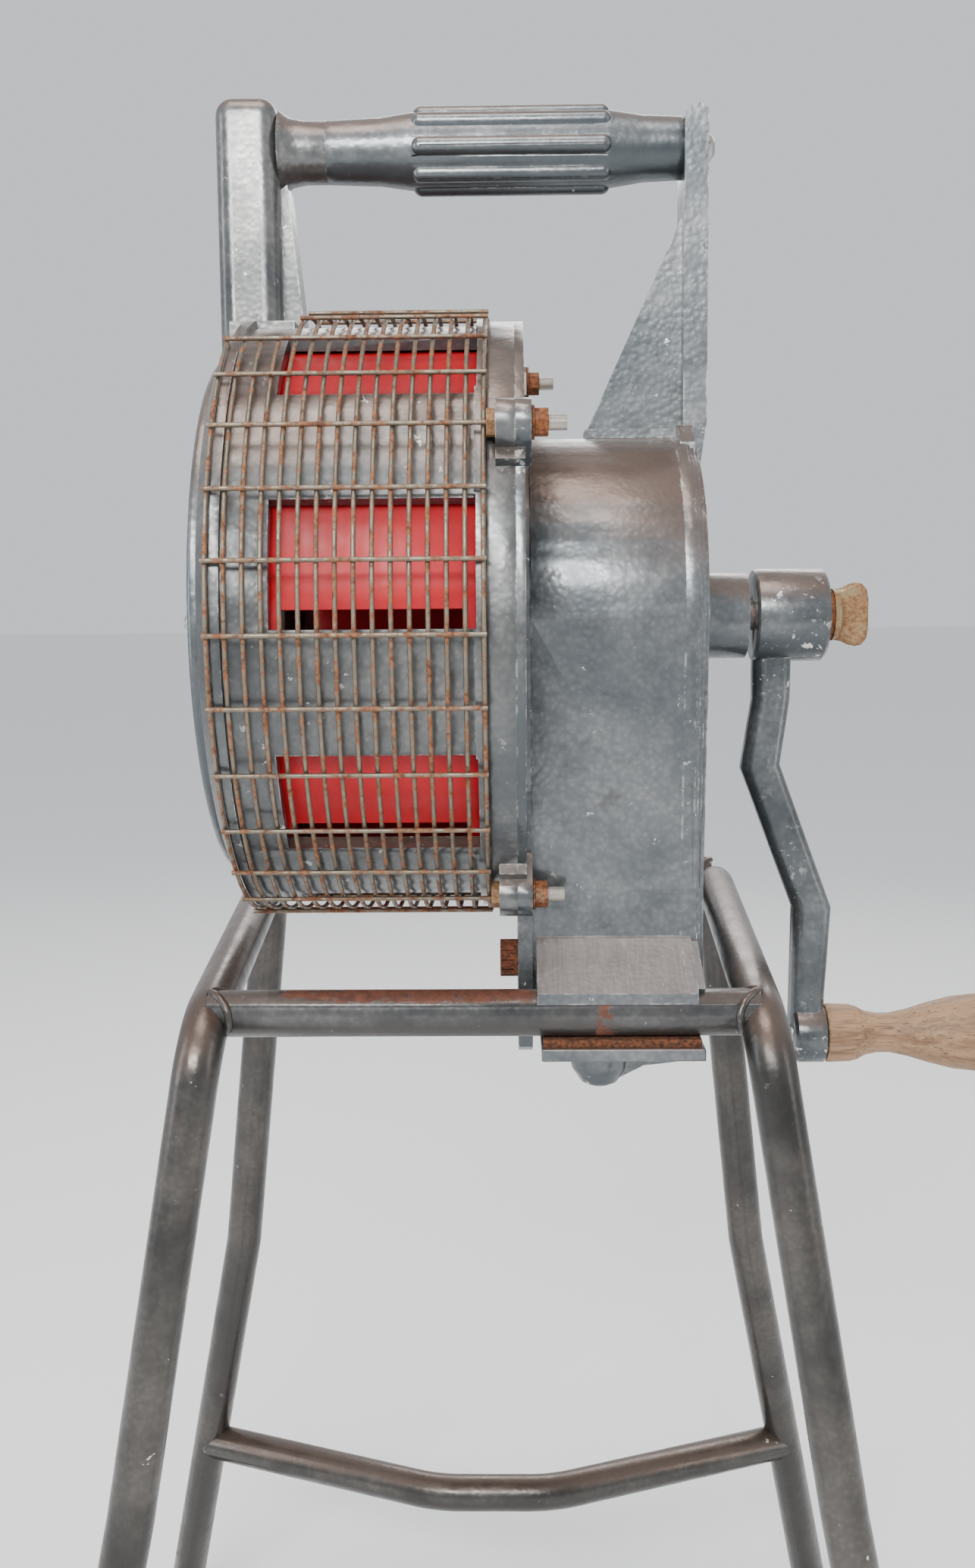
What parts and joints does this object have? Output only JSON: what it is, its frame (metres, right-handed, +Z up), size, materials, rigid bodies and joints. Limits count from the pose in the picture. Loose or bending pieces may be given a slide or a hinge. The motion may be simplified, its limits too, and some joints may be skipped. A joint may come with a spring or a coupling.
{
  "type": "hand cranked siren",
  "caption": "Hand-cranked warning siren: red chopper rotor behind a wire guard, geared crank with wooden grip, carry handle, clamped to a tubular stand.",
  "frame": {"origin": "on the floor, under the middle of the overall bounding box", "axes": "+X along the rotor shaft towards the crank, +Y towards the rear rail of the stand, +Z up"},
  "size_m": [0.604, 0.443, 1.096],
  "materials": {
    "hammertone_paint": "cast aluminium in hammered silver-grey paint, worn at the edges",
    "stand_paint": "hammered grey-bronze paint with rust marks",
    "rotor_red": "cast aluminium in gloss red paint",
    "zinc_wire": "dull zinc with rust freckles",
    "steel": "ground steel",
    "rusty_steel": "rusted steel",
    "bronze": "bearing bronze",
    "ash_wood": "bare weathered wood",
    "black_rubber": "matt rubber"
  },
  "bodies": {
    "siren": {"stator_drum": "hammertone_paint", "back_plate": "hammertone_paint", "gear_case": "hammertone_paint", "rear_cover": "hammertone_paint", "grip": "hammertone_paint", "intake_ring": "hammertone_paint", "rear_saddle": "hammertone_paint", "stand_frame_left": "stand_paint", "stand_frame_right": "stand_paint", "front_rail": "stand_paint", "rear_rail": "stand_paint", "rear_brace": "stand_paint", "outer_guard": "zinc_wire", "intake_grille": "zinc_wire", "bearing_outer_rings": "steel", "bearing_balls": "steel", "counter_bushes": "bronze", "crank_bush": "bronze", "cover_screws": "steel", "case_screws": "steel", "intake_screws": "steel", "grip_bolt": "steel", "grip_nut": "steel", "flange_bolts": "rusty_steel", "flange_washers": "rusty_steel", "flange_nuts": "rusty_steel", "drain_plug": "rusty_steel", "saddle_bolts": "rusty_steel", "clamp_stud": "steel", "rubber_feet": "black_rubber"},
    "rotor": {"rotor": "rotor_red", "rotor_shaft": "steel", "rotor_nut": "steel", "rotor_pinion": "steel", "bearing_inner_rings": "steel"},
    "counter": {"counter_shaft": "steel", "counter_wheel": "steel", "counter_pinion": "steel"},
    "crank": {"crank_shaft": "steel", "crank_wheel": "steel", "crank_arm": "hammertone_paint", "wing_washer": "rusty_steel", "grip_spindle": "steel"},
    "crank_grip": {"crank_grip": "ash_wood"},
    "wing_bolt": {"wing_bolt": "rusty_steel"},
    "clamp": {"clamp_plate": "hammertone_paint", "clamp_liner": "rusty_steel"},
    "clamp_lever": {"clamp_lever": "hammertone_paint"}
  },
  "joints": [
    {"name": "rotor_spin", "type": "hinge", "parent": "siren", "child": "rotor", "pos_m": [-0.0805, -0.004, 0.8], "axis": [1, 0, 0], "continuous": true},
    {"name": "counter_spin", "type": "hinge", "parent": "siren", "child": "counter", "pos_m": [0.0195, -0.004, 0.7265], "axis": [1, 0, 0], "continuous": true},
    {"name": "crank_turn", "type": "hinge", "parent": "siren", "child": "crank", "pos_m": [0.0995, -0.004, 0.8], "axis": [1, 0, 0], "continuous": true},
    {"name": "crank_grip_spin", "type": "hinge", "parent": "crank", "child": "crank_grip", "pos_m": [0.2295, -0.004, 0.542], "axis": [1, 0, 0], "continuous": true},
    {"name": "wing_bolt_turn", "type": "hinge", "parent": "crank", "child": "wing_bolt", "pos_m": [0.1795, -0.004, 0.8], "axis": [1, 0, 0], "continuous": true},
    {"name": "clamp_drop", "type": "slide", "parent": "siren", "child": "clamp", "axis": [0, 0, -1], "range_m": [0, 0.006]},
    {"name": "clamp_lever_turn", "type": "hinge", "parent": "clamp", "child": "clamp_lever", "pos_m": [0.0322, -0.044, 0.55], "axis": [0, 0, 1], "range_deg": [0, 1240]}
  ],
  "couplings": [
    {"joint": "counter_spin", "follows": "rotor_spin", "ratio": -0.16667},
    {"joint": "crank_turn", "follows": "rotor_spin", "ratio": 0.027778},
    {"joint": "clamp_lever_turn", "follows": "clamp_drop", "rad_per_m": 3590.4}
  ]
}
